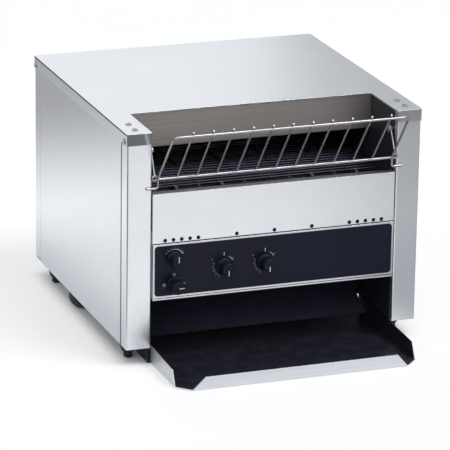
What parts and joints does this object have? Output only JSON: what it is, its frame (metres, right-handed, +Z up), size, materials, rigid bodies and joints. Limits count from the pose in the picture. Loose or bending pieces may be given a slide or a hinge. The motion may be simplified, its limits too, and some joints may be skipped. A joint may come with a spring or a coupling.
{
  "type": "conveyor toaster",
  "caption": "Counter conveyor toaster: wire feed rack, wire belt between heating elements, slide and front tray in a steel casing.",
  "frame": {"origin": "on the counter, at the middle of the toaster's width and of its depth with the toast tray in", "axes": "+Z up, the control panel faces -Y, +X is the right-hand side seen from the front"},
  "size_m": [0.474, 0.5924, 0.3811],
  "materials": {
    "casing_steel": "satin",
    "inner_steel": "heat-darkened",
    "hood_steel": "satin, heat-tinted",
    "zinc_steel": "dull zinc",
    "reflector_aluminium": "matte",
    "overlay_black": "satin",
    "knob_black": "satin",
    "element_sheath": "oxidised",
    "ceramic": "glazed ceramic",
    "belt_wire": "bright wire",
    "rack_wire": "bright wire",
    "shaft_steel": "ground",
    "bush_bronze": "sintered bronze",
    "gear_metal": "painted",
    "chain_steel": "oiled",
    "black_plastic": "moulded",
    "board_green": "varnished",
    "white_plastic": "moulded",
    "screw_steel": "bright",
    "foot_rubber": "matte"
  },
  "bodies": {
    "casing": {"base_pan": "zinc_steel", "side_panel_left": "casing_steel", "side_panel_right": "casing_steel", "post_left": "casing_steel", "post_right": "casing_steel", "rear_panel": "casing_steel", "top_cover": "casing_steel", "feed_hood": "hood_steel", "inner_plate_left": "inner_steel", "inner_plate_right": "inner_steel", "front_panel": "casing_steel", "control_bezel": "casing_steel", "control_overlay": "overlay_black", "component_box": "zinc_steel", "upper_reflector": "reflector_aluminium", "lower_reflector": "reflector_aluminium", "upper_elements_row": "element_sheath", "lower_elements_row": "element_sheath", "element_collars": "ceramic", "toast_slide": "zinc_steel", "crumb_rails": "zinc_steel", "tray_runners": "zinc_steel", "shaft_bushes": "bush_bronze", "conveyor_belt": "belt_wire", "drive_chain": "chain_steel", "gearbox": "gear_metal", "motor": "gear_metal", "fan_frame": "black_plastic", "speed_control": "black_plastic", "power_switch": "black_plastic", "top_heat_control": "ceramic", "bottom_heat_control": "ceramic", "contactor": "white_plastic", "terminal_block": "white_plastic", "speed_board": "board_green", "cable_gland": "black_plastic", "feet": "foot_rubber", "cover_screws": "screw_steel", "casing_rivets": "screw_steel", "rack_studs": "screw_steel"},
    "conveyor_drive": {"drive_shaft": "shaft_steel", "belt_sprockets": "shaft_steel", "chain_wheel": "shaft_steel"},
    "idler": {"idler_shaft": "shaft_steel", "idler_spools": "shaft_steel"},
    "motor_output": {"motor_shaft": "shaft_steel", "motor_pinion": "shaft_steel"},
    "fan_rotor": {"fan_rotor": "black_plastic"},
    "speed_knob": {"speed_knob": "knob_black", "speed_spindle": "shaft_steel"},
    "power_knob": {"power_knob": "knob_black", "power_spindle": "shaft_steel"},
    "top_heat_knob": {"top_heat_knob": "knob_black", "top_heat_spindle": "shaft_steel"},
    "bottom_heat_knob": {"bottom_heat_knob": "knob_black", "bottom_heat_spindle": "shaft_steel"},
    "toast_tray": {"toast_tray": "casing_steel"},
    "crumb_tray": {"crumb_tray": "zinc_steel"},
    "feed_rack": {"feed_rack": "rack_wire"}
  },
  "joints": [
    {"name": "conveyor_drive_spin", "type": "hinge", "parent": "casing", "child": "conveyor_drive", "pos_m": [0, -0.12684, 0.24429], "axis": [1, 0, 0], "continuous": true, "deforming": ["conveyor_belt", "drive_chain"]},
    {"name": "idler_spin", "type": "hinge", "parent": "casing", "child": "idler", "pos_m": [0, 0.20916, 0.24429], "axis": [1, 0, 0], "continuous": true},
    {"name": "motor_spin", "type": "hinge", "parent": "casing", "child": "motor_output", "pos_m": [0.2, -0.06127, 0.16037], "axis": [1, 0, 0], "continuous": true},
    {"name": "fan_spin", "type": "hinge", "parent": "casing", "child": "fan_rotor", "pos_m": [-0.21, -0.11444, 0.165], "axis": [1, 0, 0], "continuous": true},
    {"name": "speed_knob_turn", "type": "hinge", "parent": "casing", "child": "speed_knob", "pos_m": [-0.16, -0.17114, 0.1655], "axis": [0, 1, 0], "range_deg": [-135, 135]},
    {"name": "power_knob_turn", "type": "hinge", "parent": "casing", "child": "power_knob", "pos_m": [-0.16, -0.17114, 0.126], "axis": [0, 1, 0], "range_deg": [-180, 0]},
    {"name": "top_heat_knob_turn", "type": "hinge", "parent": "casing", "child": "top_heat_knob", "pos_m": [-0.081, -0.17114, 0.147], "axis": [0, 1, 0], "range_deg": [-180, 150]},
    {"name": "bottom_heat_knob_turn", "type": "hinge", "parent": "casing", "child": "bottom_heat_knob", "pos_m": [-0.0155, -0.17114, 0.147], "axis": [0, 1, 0], "range_deg": [-180, 150]},
    {"name": "toast_tray_slide", "type": "slide", "parent": "casing", "child": "toast_tray", "axis": [0, -1, 0], "range_m": [0, 0.08]},
    {"name": "crumb_tray_slide", "type": "slide", "parent": "casing", "child": "crumb_tray", "axis": [0, -0.8949, -0.4462], "range_m": [0, 0.09]},
    {"name": "feed_rack_lift", "type": "slide", "parent": "casing", "child": "feed_rack", "axis": [0, 0, 1], "range_m": [0, 0.03]}
  ],
  "couplings": [
    {"joint": "idler_spin", "follows": "conveyor_drive_spin", "ratio": 1},
    {"joint": "motor_spin", "follows": "conveyor_drive_spin", "ratio": 2.4}
  ]
}
